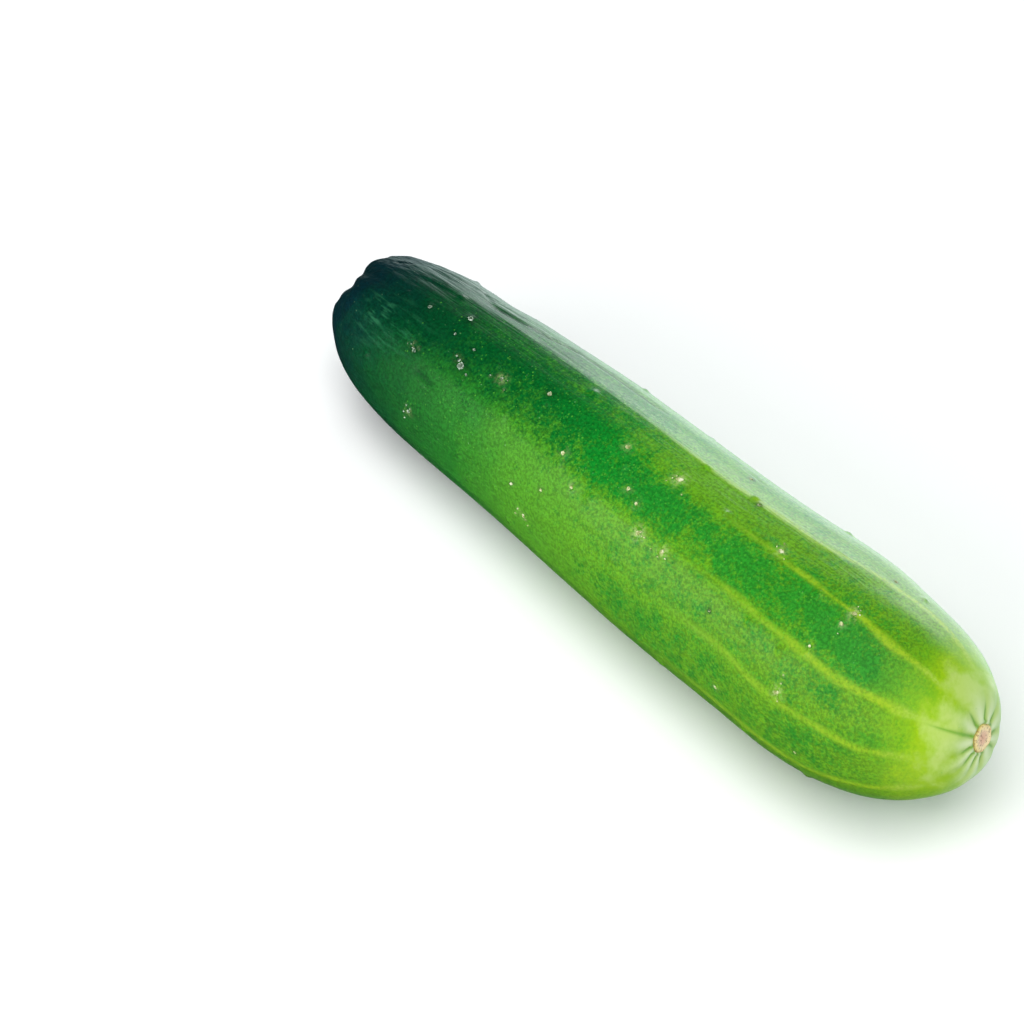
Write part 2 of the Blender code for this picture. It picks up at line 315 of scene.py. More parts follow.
def scar_rims():
    """Points on the rims of the two scars, which stand out a little past the skin at both ends."""
    angle = np.radians(np.arange(0, 360, 5))
    stem = (OUTLINE_X[0] - STEM_RIM, STEM_SCAR_RADIUS)
    blossom = (OUTLINE_X[-1] + BLOSSOM_RIM, BLOSSOM_SCAR_RADIUS)
    for x, radius in (stem, blossom):
        across = RIM_AT * radius
        yield np.stack((np.full(len(angle), x), -across * np.sin(angle), across * np.cos(angle)), axis=-1)


def moved_to_the_solid():
    """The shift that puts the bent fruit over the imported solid, whose origin is under its middle."""
    along, angle = np.meshgrid(ALONG, np.radians(np.arange(0, 360, 2)))
    station = np.interp(along, ALONG, STATION)
    points = on_outline(along, angle, relief(station, angle, along)).reshape(-1, 3)
    points = laid_down(bent(np.concatenate((points, *scar_rims()))))
    lows = points.min(axis=0)
    middle = (lows + points.max(axis=0)) / 2
    low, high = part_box("cucumber")
    goal = (low + high) / 2
    return np.array((goal.x - middle[0], goal.y - middle[1], -lows[2] - FLAT_DEPTH))


SHIFT = moved_to_the_solid()
print("shift to the solid, mm:", np.round(SHIFT / MM, 2))


def settled(points):
    """Points of the straight fruit where they end up, pressed flat on the floor."""
    placed = laid_down(bent(points)) + SHIFT
    placed[:, 2] = np.maximum(placed[:, 2], 0)
    return placed


# %% [markdown]
# Where the spines grew
#
# A young cucumber has a spine on each small wart. When it is ripe the spines have gone, and a low bump with a
# pale corky scab is left, or only a speck. The first list holds the plain ones of the side that shows, as mm
# from the stem end, an angle and a radius. Loose rows beside the ribs fill the rest.

# %% The bumps, as in the solid
STRONG_BUMPS = (
    (29, 12),
    (38, 1),
    (46, 30),
    (80, 35),
    (100, 32),
    (105, 43),
    (112, 44),
    (152, 17),
    (151, 38),
)
BUMPS_PER_RIB = 6
BUMP_SPREAD = math.radians(12)
BUMP_RADIUS = (0.75 * MM, 1.1 * MM)
BUMP_RISE = 0.38 * MM
BUMPS_FROM = 20 * MM
BUMPS_TO = 160 * MM
BUMP_FREE_ANGLE = math.radians(35)


def bump_places():
    """Each bump as (x, angle, radius): the strong ones, then the rows, with none underneath."""
    for x, angle in STRONG_BUMPS:
        yield x * MM, math.radians(angle), BUMP_RADIUS[1]
    draw = random.Random(SEED)
    spacing = (BUMPS_TO - BUMPS_FROM) / BUMPS_PER_RIB
    for rib in range(len(RIB_ANGLES)):
        for i in range(BUMPS_PER_RIB):
            x = BUMPS_FROM + spacing * (i + draw.random())
            angle = float(rib_angle(rib, x)) + draw.uniform(-BUMP_SPREAD, BUMP_SPREAD)
            radius = draw.uniform(*BUMP_RADIUS)
            if abs(turned_from(angle, math.pi)) > BUMP_FREE_ANGLE:
                yield x, angle, radius


BUMPS = [(float(np.interp(x, STATION, ALONG)), angle, radius) for x, angle, radius in bump_places()]
print(len(BUMPS), "bumps")

# %% The scabs: mm from the stem end, degrees, radius in mm, and how much of a pale stain lies round it
SCABS = (
    (29.2, 11.5, 0.5, 0.12),
    (38.3, 1.0, 0.75, 0.1),
    (39.0, 16.0, 0.35, 0.1),
    (45.4, 17.0, 0.35, 0.1),
    (46.0, 30.5, 0.95, 0.12),
    (44.6, 28.6, 0.45, 0.3),
    (43.4, 27.0, 0.3, 0.4),
    (48.5, 33.0, 0.3, 0.2),
    (33.9, 41.0, 0.6, 0.2),
    (32.4, 38.5, 0.25, 0.7),
    (55.8, 21.5, 0.5, 0.7),
    (67.1, 11.5, 0.65, 0.2),
    (38.7, 78.0, 0.4, 0.7),
    (89.6, 9.5, 0.55, 0.5),
    (79.7, 34.5, 0.5, 0.5),
    (85.8, 46.5, 0.45, 0.5),
    (96.7, 28.0, 0.5, 0.4),
    (100.4, 32.0, 0.45, 0.4),
    (71.6, 69.0, 0.4, 0.3),
    (79.4, 59.5, 0.35, 0.3),
    (76.6, 82.5, 0.45, 0.6),
    (104.8, 43.5, 0.6, 0.95),
    (111.6, 43.5, 0.5, 0.9),
    (103.2, 6.0, 0.7, 0.8),
    (118.6, -12.0, 0.4, 0.0),
    (110.6, -29.5, 0.4, 0.0),
    (130.8, 4.5, 0.6, 0.6),
    (127.2, 53.0, 0.3, 0.0),
    (153.2, 9.0, 0.6, 0.8),
    (152.6, 17.5, 0.45, 0.5),
    (150.0, 36.0, 0.35, 0.5),
    (151.4, -28.5, 0.4, 0.0),
    (148.0, 66.0, 0.5, 0.9),
    (133.8, 91.0, 0.4, 0.5),
    (153.2, 98.0, 0.3, 0.3),
)
HIDDEN_SCABS = 34
UNDERSIDE = math.radians(32)
CRUMBS = 4
CRUMB_SPREAD = 1.5 * MM
CRUMB_RADIUS = (0.1 * MM, 0.22 * MM)


def scab_places():
    """Each scab as (along, angle, radius, stain): the listed ones, then some that are out of view."""
    draw = random.Random(SEED + 1)
    for x, angle, radius, stain in SCABS:
        along = float(np.interp(x * MM, STATION, ALONG))
        yield along, math.radians(angle), radius * MM, stain
        for i in range(CRUMBS if stain > 0.55 else 0):
            aside = draw.gauss(0, CRUMB_SPREAD) / BELLY_RADIUS
            ahead = draw.gauss(0, CRUMB_SPREAD)
            yield along + ahead, math.radians(angle) + aside, draw.uniform(*CRUMB_RADIUS), 0.5
    for i in range(HIDDEN_SCABS):
        x = draw.uniform(24, 160) * MM
        angle = math.radians(draw.uniform(128, 296))
        radius = draw.uniform(0.3, 0.7) * MM
        stain = draw.uniform(0, 0.7)
        if abs(turned_from(angle, math.pi)) > UNDERSIDE:
            yield float(np.interp(x, STATION, ALONG)), angle, radius, stain


SCAB_PLACES = list(scab_places())

# %% [markdown]
# The skin
#
# One spin of the half outline gives an even grid with no seam. The profile starts and ends on the axis, under
# the scars, so the skin is closed. Faces round the bumps are cut once more, and then every point is put where
# the formulas say.

# %% Spin the half outline
SPIN_STEPS = 208
SCAR_BED = 0.45 * MM


def spun_skin():
    """A bmesh of the straight skin, with each point's distance along the skin in a layer."""
    bm = bmesh.new()
    layer = bm.verts.layers.float.new("along")
    stem_x = OUTLINE_X[0]
    blossom_x = OUTLINE_X[-1]
    profile = [(stem_x + SCAR_BED, 0.0, -6 * MM), (stem_x + SCAR_BED, 0.5 * OUTLINE_R[0], -2 * MM)]
    profile += list(zip(OUTLINE_X, OUTLINE_R, ALONG))
    profile += [(blossom_x - SCAR_BED, 0.5 * OUTLINE_R[-1], SKIN_LENGTH + 2 * MM)]
    profile += [(blossom_x - SCAR_BED, 0.0, SKIN_LENGTH + 6 * MM)]
    verts = []
    for x, radius, along in profile:
        vert = bm.verts.new((x, 0, radius))
        vert[layer] = along
        verts.append(vert)
    edges = [bm.edges.new(pair) for pair in zip(verts, verts[1:])]
    bmesh.ops.spin(
        bm,
        geom=verts + edges,
        cent=(0, 0, 0),
        axis=(1, 0, 0),
        dvec=(0, 0, 0),
        angle=math.tau,
        steps=SPIN_STEPS,
        use_merge=True,
        use_duplicate=False,
    )
    bmesh.ops.remove_doubles(bm, verts=bm.verts, dist=1e-7)
    bmesh.ops.recalc_face_normals(bm, faces=bm.faces)
    return bm


skin_bm = spun_skin()
print(len(skin_bm.faces), "faces after the spin")

# %% Cut the faces finer round each bump and scab
FINE_REACH = 1.5


def finer_round(bm, places):
    """Subdivides the faces within reach of each place, once."""
    verts = list(bm.verts)
    spots = np.array([vert.co for vert in verts])
    chosen = np.zeros(len(verts), bool)
    for along, angle, radius in places:
        centre = on_outline(np.array([along]), np.array([angle]), 0)[0]
        chosen |= np.linalg.norm(spots - centre, axis=1) < FINE_REACH * radius
    near = {verts[i] for i in np.flatnonzero(chosen)}
    edges = [edge for edge in bm.edges if edge.verts[0] in near and edge.verts[1] in near]
    bmesh.ops.subdivide_edges(bm, edges=edges, cuts=1, use_grid_fill=True)


fine_places = BUMPS + [(along, angle, max(radius, 0.8 * MM)) for along, angle, radius, stain in SCAB_PLACES]
finer_round(skin_bm, fine_places)
print(len(skin_bm.faces), "faces after the cuts")

# %% Read the points into arrays
skin_mesh = bpy.data.meshes.new("cucumber_skin")
layer = skin_bm.verts.layers.float["along"]
ALONG_AT = np.array([vert[layer] for vert in skin_bm.verts])
straight = np.array([vert.co for vert in skin_bm.verts])
ANGLE_AT = np.arctan2(-straight[:, 1], straight[:, 2])
ON_SKIN = (ALONG_AT >= 0) & (ALONG_AT <= SKIN_LENGTH)
CLIPPED = np.clip(ALONG_AT, 0, SKIN_LENGTH)
STATION_AT = np.interp(CLIPPED, ALONG, STATION)
RADIUS_AT = np.interp(CLIPPED, ALONG, OUTLINE_R)
print(len(straight), "points")

# %% [markdown]
# Fine relief
#
# The solid leaves out what is finer than a few faces. The skin gets rounded bumps with a small pit where the
# spine broke off, slow unevenness, and lengthwise wrinkles where the stem end shrank a little as it dried.

# %% Bumps and pits
BUMP_SWELL = 0.9
PIT_DEPTH = 0.16 * MM


def distance_from(place_along, place_angle):
    """Each point's distance from a place on the skin."""
    across = RADIUS_AT * turned_from(ANGLE_AT, place_angle)
    return np.hypot(ALONG_AT - place_along, across)


def bump_heights():
    height = np.zeros(len(ALONG_AT))
    for along, angle, radius in BUMPS:
        away = distance_from(along, angle) / (BUMP_SWELL * radius)
        height += BUMP_RISE * np.exp(-(away**2))
    for along, angle, radius, stain in SCAB_PLACES:
        away = distance_from(along, angle) / radius
        height += 0.5 * PIT_DEPTH * np.exp(-((away - 1.3) ** 2) / 0.3) - PIT_DEPTH * np.exp(-(away**2))
    return height


# %% Slow unevenness and stem wrinkles
UNEVEN_HEIGHT = 0.16 * MM
UNEVEN_SIZE = 13.0
DIMPLING_HEIGHT = 0.045 * MM
DIMPLING_SIZE = 3.2
WRINKLE_HEIGHT = 0.26 * MM
WRINKLE_SPACING = 2.1
WRINKLE_STRETCH = 0.11
WRINKLE_SIDE = math.radians(-36)
WRINKLE_REACH = math.radians(27)
WRINKLES_TO = 76 * MM
FAINT_WRINKLES = 0.2

# The skin laid out in mm: along it, and across as if the fruit were a cylinder that narrows at its ends
FLAT_MM = np.stack((ALONG_AT, -RADIUS_AT * np.sin(ANGLE_AT), RADIUS_AT * np.cos(ANGLE_AT)), axis=-1) / MM


def noise_at(points, size, stretch=1.0, seed=0.0):
    """Smooth noise between about -1 and 1, with features of a size in mm, stretched along the fruit."""
    scaled = points / size
    scaled[:, 0] = scaled[:, 0] * stretch + seed
    return np.array([noise.noise(Vector(point)) for point in scaled])


uneven = UNEVEN_HEIGHT * noise_at(FLAT_MM, UNEVEN_SIZE, 0.6)
uneven += DIMPLING_HEIGHT * noise_at(FLAT_MM, DIMPLING_SIZE)
wrinkle_side = hump(ANGLE_AT, WRINKLE_SIDE, WRINKLE_REACH)
wrinkle_share = wrinkle_side * eased(CLIPPED / (8 * MM)) * (1 - eased(CLIPPED / WRINKLES_TO))
wrinkle_share += 0.25 * (1 - eased(CLIPPED / (34 * MM))) * eased(CLIPPED / (5 * MM))
wrinkle_noise = noise_at(FLAT_MM, WRINKLE_SPACING, WRINKLE_STRETCH, 5.0)
wrinkles = WRINKLE_HEIGHT * wrinkle_share * (0.5 - np.abs(wrinkle_noise) * 2)
print(f"unevenness {uneven.min() / MM:.2f} to {uneven.max() / MM:.2f} mm")
print(f"wrinkles {wrinkles.min() / MM:.2f} to {wrinkles.max() / MM:.2f} mm")

# %% [markdown]
# Single folds
#
# A few thin folds run lengthwise on the upper far side, where the skin creased as the fruit lost water. Each
# one is a line between two places, with a depth that fades out at both of its ends.

# %% Folds as lines: from (mm, degrees) to (mm, degrees), depth and width in mm
FOLDS = (
    (25, -47, 37, -23, 0.25, 1.0),
    (34, -21, 52, -28, 0.42, 1.2),
    (49, -26, 61, -36, 0.4, 1.2),
    (57, -34, 88, -33, 0.34, 1.2),
    (9, -9, 14, -18, 0.55, 1.1),
    (17, -5, 33, -9, 0.14, 0.9),
    (108, -37, 114, -33, 0.16, 0.6),
    (15, 33, 28, 36.5, 0.1, 0.8),
    (22, -30, 38, -38, 0.2, 0.8),
    (36, 50, 43.5, 52, 0.32, 1.2),
)


def fold_depths():
    depth = np.zeros(len(ALONG_AT))
    for x0, angle0, x1, angle1, fold_depth, width in FOLDS:
        start = np.interp(x0 * MM, STATION, ALONG)
        end = np.interp(x1 * MM, STATION, ALONG)
        share = (ALONG_AT - start) / (end - start)
        centre = np.radians(angle0 + (angle1 - angle0) * np.clip(share, 0, 1))
        across = RADIUS_AT * turned_from(ANGLE_AT, centre)
        ends = eased(share * 4) * eased((1 - share) * 4)
        depth += fold_depth * MM * ends * np.exp(-((across / (0.5 * width * MM)) ** 2))
    return depth


folds = fold_depths()

# %% Put every point in its place
fine_relief = bump_heights() + uneven + wrinkles - folds
height = relief(STATION_AT, ANGLE_AT, CLIPPED) + np.where(ON_SKIN, fine_relief, 0)
lifted = on_outline(CLIPPED, ANGLE_AT, height)
final = np.where(ON_SKIN[:, None], lifted, straight)
final = settled(final)
for vert, place in zip(skin_bm.verts, final):
    vert.co = place
bmesh.ops.recalc_face_normals(skin_bm, faces=skin_bm.faces)
for face in skin_bm.faces:
    face.smooth = True
skin_bm.to_mesh(skin_mesh)
skin_bm.free()
skin = bpy.data.objects.new("cucumber_skin", skin_mesh)
bpy.context.scene.collection.objects.link(skin)
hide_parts("cucumber")
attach(skin, "root")
print("skin:", len(skin_mesh.polygons), "faces, from", final.min(axis=0), "to", final.max(axis=0))

# %% [markdown]
# What the colour follows
#
# The colour of the skin isn't painted on from outside: it follows the ribs, creases and scabs. Some of it is
# painted shade in creases, furrows, folds and round scabs, and some painted sheen in streaks and patches. So
# each point stores how much of each of them it has, as named attributes, and the material reads those.


# %% Store a value for each point
def keep(mesh, name, values):
    """Stores one number for each point of a mesh under a name that a material can read."""
    attribute = mesh.attributes.new(name, "FLOAT", "POINT")
    attribute.data.foreach_set("value", np.asarray(values, np.float32))
    print(f"{name}: {float(np.min(values)):.2f} to {float(np.max(values)):.2f}")


place = skin_mesh.attributes.new("skin_mm", "FLOAT_VECTOR", "POINT")
place.data.foreach_set("vector", np.asarray(FLAT_MM, np.float32).ravel())
keep(skin_mesh, "from_stem", STATION_AT / LENGTH)

# %% The dark lanes between the ribs: how dark each one is, from the first rib round
LANE_SHADES = (0.5, 0.95, 0.42, 0.6, 0.4, 0.5, 0.35, 0.55, 0.8, 0.6)
LANE_FILL = 0.97
YOUNG_TO = 82 * MM
RIBS_SHOW_AT = 108 * MM
DARK_SIDE = (math.radians(1), math.radians(41))
DARK_FAR_SIDE = (math.radians(266), math.radians(40))
# Darker and paler patches: mm, degrees, reach along and across in mm, and how much darker
PATCHES = (
    (28, 13, 7, 4, 0.4),
    (36, 21, 6, 3, 0.35),
    (60.5, 3, 8, 3, 0.35),
    (78, 10, 10, 3, 0.35),
    (44, 45, 15, 7, -0.2),
    (66, 47, 9, 5, -0.25),
    (50, -5, 26, 3.5, -0.3),
    # Painted sheen: paler where the sheen runs on past its edge
    (110, -4, 24, 4.5, -0.5),
    (109, 15, 7, 3, 0.25),
    (144, 16, 15, 3.5, 0.35),
    (158, 51, 6, 3, 0.35),
    (90, 26.5, 8, 3.5, 0.3),
    (103.6, 23, 6, 3, 0.35),
    (118, 33, 7, 3, -0.2),
    (126, 23, 8, 3, 0.3),
    (142, 4, 16, 2, 0.3),
    (157, 27, 8, 2.5, 0.45),
    (165, 32.5, 4, 2, 0.4),
    (154, 80, 7, 2, 0.3),
    (164, 84, 5, 2, 0.25),
    (168, 90, 6, 2.5, -0.4),
    # Partly the paler skin near the tip, partly painted sheen along the edge
    (160, -48, 18, 7, -0.8),
    (167, 70, 5, 2, 0.4),
    (64, 150, 14, 7, 0.4),
    (120, 215, 16, 6, -0.35),
    (92, 262, 12, 6, 0.35),
)


def lane_shade():
    """1 in the darkest lane and 0 on a pale rib. Near the stem the lanes run together into dark sides."""
    shade = np.zeros(len(ALONG_AT))
    for rib in range(len(RIB_ANGLES)):
        here = rib_angle(rib, STATION_AT)
        there = rib_angle((rib + 1) % len(RIB_ANGLES), STATION_AT)
        gap = turned_from(there, here) / 2
        from_middle = turned_from(ANGLE_AT, here + gap) / (gap * LANE_FILL)
        shade += LANE_SHADES[rib] * np.exp(-(from_middle**4))
    broad = np.exp(-((turned_from(ANGLE_AT, DARK_SIDE[0]) / DARK_SIDE[1]) ** 4))
    broad += 0.8 * np.exp(-((turned_from(ANGLE_AT, DARK_FAR_SIDE[0]) / DARK_FAR_SIDE[1]) ** 4))
    ribbed = eased((STATION_AT - YOUNG_TO) / (RIBS_SHOW_AT - YOUNG_TO))
    total = 0.9 * broad * (1 - ribbed) + 0.78 * shade * ribbed
    for x, degrees, reach_along, reach_across, darker in PATCHES:
        along = (STATION_AT / MM - x) / reach_along
        across = RADIUS_AT / MM * turned_from(ANGLE_AT, math.radians(degrees)) / reach_across
        total += darker * np.exp(-(along**2) - across**2)
    return total


keep(skin_mesh, "lane_shade", lane_shade())

# %% The pale stripe along each rib
STRIPE_STRENGTH = (1.0, 0.92, 0.8, 0.7, 0.75, 0.6, 0.5, 0.6, 0.7, 0.8)
STRIPE_WIDTHS = (0.8, 0.8, 1.0, 1.1, 1.2, 1.2, 1.3, 1.2, 1.1, 1.0)
STRIPE_ASIDE = (0, 0, -1.5, -6, 0, 0, 0, 0, 0, 0)
STRIPE_STARTS = (68, 98, 98, 98, 98, 98, 98, 98, 98, 98)
STRIPE_GROWTH = 42 * MM
STRIPE_TO = (170 * MM, 178 * MM)
STRIPE_WANDER = 0.7 * MM
STRIPE_SWELL = 0.7


def stripes():
    """How pale each stripe leaves a point. A stripe may lie a few degrees beside the crest of its rib."""
    near = np.zeros(len(ALONG_AT))
    wander = STRIPE_WANDER * noise_at(FLAT_MM, 8.0, 0.8, 20.0)
    swell = np.clip(1 + STRIPE_SWELL * noise_at(FLAT_MM, 6.0, 0.7, 30.0), 0.4, None)
    rows = zip(STRIPE_STRENGTH, STRIPE_WIDTHS, STRIPE_ASIDE, STRIPE_STARTS)
    for rib, (strength, width, aside, start) in enumerate(rows):
        shown = strength * eased((STATION_AT - start * MM) / STRIPE_GROWTH)
        centre = rib_angle(rib, STATION_AT) + math.radians(aside)
        across = RADIUS_AT * turned_from(ANGLE_AT, centre) + wander
        near = np.maximum(near, shown * np.exp(-((across / (width * swell * MM)) ** 2)))
    fading, gone = STRIPE_TO
    return near * (1 - eased((STATION_AT - fading) / (gone - fading)))


keep(skin_mesh, "stripe", stripes())

# %% Painted shade in creases, furrows, folds and round the scabs; pale lobes, stains and painted sheen streaks
CREASE_REACHES = (3.8, 4.2, 11.5, 3.2, 3.8, 3.2, 2.6, 3.6, 2.8, 3.4)
CREASE_HALF_WIDTH = 0.44 * MM
LOBES_PALE_TO = 4.6 * MM
# How far the painted shade round a scab reaches, in radii
SCAB_SHADE_REACH = 2.0
SHEEN_STREAKS_SIDE = (math.radians(38), math.radians(19))


def crease_shade():
    """Painted shade: dark tapering lines along the creases, each with its own reach in mm from the scar's
    edge.
    """
    near = np.zeros(len(ALONG_AT))
    from_blossom = np.clip(SKIN_LENGTH - ALONG_AT, 0, None)
    for rib, reach in enumerate(CREASE_REACHES):
        across = RADIUS_AT * np.abs(turned_from(ANGLE_AT, rib_angle(rib, STATION_AT)))
        left = np.clip(1 - from_blossom / (reach * MM), 0, 1)
        near += eased(2.5 * left) * np.exp(-((across / (CREASE_HALF_WIDTH * (0.35 + 0.65 * left))) ** 2))
    return np.clip(near, 0, 1)


def pale_lobes():
    """The whitish skin between the creases, close round the blossom scar."""
    between = np.zeros(len(ALONG_AT))
    from_blossom = np.clip(SKIN_LENGTH - ALONG_AT, 0, None)
    for rib in range(len(RIB_ANGLES)):
        here = rib_angle(rib, STATION_AT)
        gap = turned_from(rib_angle((rib + 1) % len(RIB_ANGLES), STATION_AT), here) / 2
        between = np.maximum(between, np.exp(-((turned_from(ANGLE_AT, here + gap) / (0.62 * gap)) ** 2)))
    return between * np.exp(-((from_blossom / LOBES_PALE_TO) ** 2))


def round_scabs(reach, weight):
    """The strongest of all the scabs' shares at each point, fading out over a reach in radii."""
    most = np.zeros(len(ALONG_AT))
    for along, angle, radius, stain in SCAB_PLACES:
        away = distance_from(along, angle) / (reach * radius)
        most = np.maximum(most, weight(stain) * np.exp(-(away**2)))
    return most


keep(skin_mesh, "crease", crease_shade())
keep(skin_mesh, "pale_lobe", pale_lobes())
# Painted shade in the stem furrows and along the folds
keep(skin_mesh, "furrow", np.clip(furrows(ANGLE_AT, CLIPPED) + folds / (0.35 * MM), 0, 1))
# Painted shade round the scabs, strongest round the ones with no pale stain
keep(skin_mesh, "painted_scab_shade", round_scabs(SCAB_SHADE_REACH, lambda stain: max(1 - 2 * stain, 0)))
keep(skin_mesh, "stain", round_scabs(2.3, lambda stain: max(stain - 0.2, 0) / 0.8))
# Painted sheen: pale streaks on the stem end's near side
sheen_streaks_begin = eased((STATION_AT - 11 * MM) / (9 * MM))
sheen_streaks_end = 1 - eased((STATION_AT - 22 * MM) / (18 * MM))
keep(skin_mesh, "painted_sheen_streaks", hump(ANGLE_AT, *SHEEN_STREAKS_SIDE) * sheen_streaks_begin * sheen_streaks_end)
faint_wrinkles = FAINT_WRINKLES * eased((SKIN_LENGTH - CLIPPED - 20 * MM) / (30 * MM))
keep(skin_mesh, "wrinkled", np.clip(wrinkle_share + faint_wrinkles, 0, 1))

# %% [markdown]
# The scars
#
# The stem was cut: it leaves a flat fibrous pad in a dimple. The flower dried and fell: it leaves a corky
# dished disc. Both are turned shapes too, so each is one spun profile, roughened so that its rim isn't a
# perfect circle, and sunk a little into the skin.


# %% Spin a scar
def spun_scar(name, profile, steps, rough, seed):
    """A closed piece from a profile of (x, radius) pairs that starts and ends on the axis."""
    bm = bmesh.new()
    verts = [bm.verts.new((x, 0, radius)) for x, radius in profile]
    edges = [bm.edges.new(pair) for pair in zip(verts, verts[1:])]
    bmesh.ops.spin(
        bm,
        geom=verts + edges,
        cent=(0, 0, 0),
        axis=(1, 0, 0),
        dvec=(0, 0, 0),
        angle=math.tau,
        steps=steps,
        use_merge=True,
        use_duplicate=False,
    )
    bmesh.ops.remove_doubles(bm, verts=bm.verts, dist=1e-7)
    places = np.array([vert.co for vert in bm.verts])
    local = places / MM
    uneven_rim = noise_at(local * (0.3, 1, 1), 1.9, 1.0, seed)
    grains = noise_at(local, 0.55, 1.0, seed)
    away = np.hypot(places[:, 1], places[:, 2])
    widen = 1 + rough * 0.16 * uneven_rim * eased(away / (1.5 * MM))
    places[:, 1] *= widen
    places[:, 2] *= widen
    places[:, 0] += rough * 0.1 * MM * grains
    settled_places = settled(places)
    for vert, spot in zip(bm.verts, settled_places):
        vert.co = spot
    bmesh.ops.recalc_face_normals(bm, faces=bm.faces)
    for face in bm.faces:
        face.smooth = True
    mesh = bpy.data.meshes.new(name)
    bm.to_mesh(mesh)
    bm.free()
    obj = bpy.data.objects.new(name, mesh)
    bpy.context.scene.collection.objects.link(obj)
    keep(mesh, "from_middle", away / away.max())
    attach(obj, "root")
    return obj


def scar_profile(edge, out, radius, height, shape, root):
    """Pairs of (x, radius) from shares of the radius and the height, finely spaced, with a closed root."""
    shares = np.array([share for share, rise in shape])
    rises = np.array([rise for share, rise in shape])
    fine = np.linspace(0, shares[-1], 15)
    fine_rises = np.interp(fine, shares, rises)
    top = [(edge + out * height * rise, radius * share) for share, rise in zip(fine, fine_rises)]
    return top + [(edge - out * root, radius * shares[-1]), (edge - out * root, 0.0)]


STEM_SCAR_SHAPE = ((0, 0.45), (0.3, 0.5), (0.6, 0.72), (0.86, 1.0), (0.96, 0.9), (1.06, 0.0))
BLOSSOM_SCAR_SHAPE = ((0, 0.1), (0.3, 0.2), (0.6, 0.5), (0.84, 1.0), (0.94, 0.85), (1.04, 0.0))
stem_profile = scar_profile(OUTLINE_X[0], -1, STEM_SCAR_RADIUS, STEM_RIM, STEM_SCAR_SHAPE, 1.0 * MM)
blossom_profile = scar_profile(
    OUTLINE_X[-1], 1, BLOSSOM_SCAR_RADIUS, BLOSSOM_RIM, BLOSSOM_SCAR_SHAPE, 0.8 * MM
)
stem_scar = spun_scar("stem_scar", stem_profile, 56, 1.0, 3.0)
blossom_scar = spun_scar("blossom_scar", blossom_profile, 56, 1.0, 8.0)

# %% [markdown]
# The scabs
#
# Each scab is a low crust of cork round the pit where the spine stood. There are many of them, so each has
# only a few dozen faces: a disc, raised once, then inset and pushed back in for the pit. Where the skin is
# stained pale the pit has healed over.


# %% A frame on the finished skin
def skin_height(along, angle):
    """How far the finished skin stands above the outline, read at its nearest point."""
    return height[np.argmin(distance_from(along, angle))]


def skin_frame(along, angle):
    """A matrix whose Z points out of the finished skin at a place, and whose X points along the fruit."""
    step = 0.6 * MM
    turn = step / float(np.interp(along, ALONG, OUTLINE_R))
    alongs = np.array((along, along + step, along - step, along, along))
    angles = np.array((angle, angle, angle, angle + turn, angle - turn))
    heights = relief(np.interp(alongs, ALONG, STATION), angles, alongs)
    heights += skin_height(along, angle) - heights[0]
    middle, ahead, behind, left, right = settled(on_outline(alongs, angles, heights))
    forward = Vector(ahead - behind).normalized()
    out = forward.cross(Vector(right - left)).normalized()
    side = out.cross(forward)
    turned = Matrix((forward, side, out)).transposed().to_4x4()
    return Matrix.Translation(Vector(middle)) @ turned


print("a place on the skin:", skin_frame(80 * MM, 0.0).to_translation())

# %% One crust of cork for each scab
SCAB_SIDES = 11
SCAB_RISE = 0.2 * MM
SCAB_ROOT = 0.35 * MM


def add_scab(bm, pit_layer, place_matrix, radius, pit, draw):
    """One scab: a disc, extruded up from its root, inset, and pushed in near the middle for the pit."""
    disc = bmesh.ops.create_circle(bm, cap_ends=True, segments=SCAB_SIDES, radius=radius)
    verts = disc["verts"]
    made = set(verts)
    bottom = verts[0].link_faces[0]
    raised = bmesh.ops.extrude_face_region(bm, geom=[bottom], use_keep_orig=True)
    top = next(item for item in raised["geom"] if isinstance(item, bmesh.types.BMFace))
    made.update(top.verts)
    bmesh.ops.translate(bm, vec=(0, 0, SCAB_ROOT + SCAB_RISE), verts=top.verts[:])
    bmesh.ops.scale(bm, vec=(0.7, 0.7, 1), verts=top.verts[:])
    bmesh.ops.inset_individual(bm, faces=[top], thickness=0.24 * radius, depth=0.0)
    made.update(top.verts)
    aside = (draw.uniform(-0.25, 0.25) * radius, draw.uniform(-0.25, 0.25) * radius)
    bmesh.ops.translate(bm, vec=(*aside, -0.8 * pit * SCAB_RISE), verts=top.verts[:])
    for vert in top.verts:
        vert[pit_layer] = pit
    stretch = draw.uniform(1.0, 1.5)
    turn = draw.uniform(-0.5, 0.5)
    for vert in made:
        swing = 1 + draw.uniform(-0.26, 0.26)
        vert.co.x *= swing * stretch
        vert.co.y *= swing
    bmesh.ops.transform(bm, matrix=Matrix.Rotation(turn, 4, "Z"), verts=list(made))
    sink = Matrix.Translation((0, 0, -SCAB_ROOT))
    bmesh.ops.transform(bm, matrix=place_matrix @ sink, verts=list(made))


scab_bm = bmesh.new()
pit_layer = scab_bm.verts.layers.float.new("pit")
scab_draw = random.Random(SEED + 2)
for along, angle, radius, stain in SCAB_PLACES:
    add_scab(scab_bm, pit_layer, skin_frame(along, angle), radius, max(1 - 2 * stain, 0), scab_draw)
bmesh.ops.recalc_face_normals(scab_bm, faces=scab_bm.faces)
scab_mesh = bpy.data.meshes.new("spine_scabs")
scab_bm.to_mesh(scab_mesh)
scab_bm.free()
scabs = bpy.data.objects.new("spine_scabs", scab_mesh)
bpy.context.scene.collection.objects.link(scabs)
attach(scabs, "root")
print(len(SCAB_PLACES), "scabs,", len(scab_mesh.polygons), "faces")

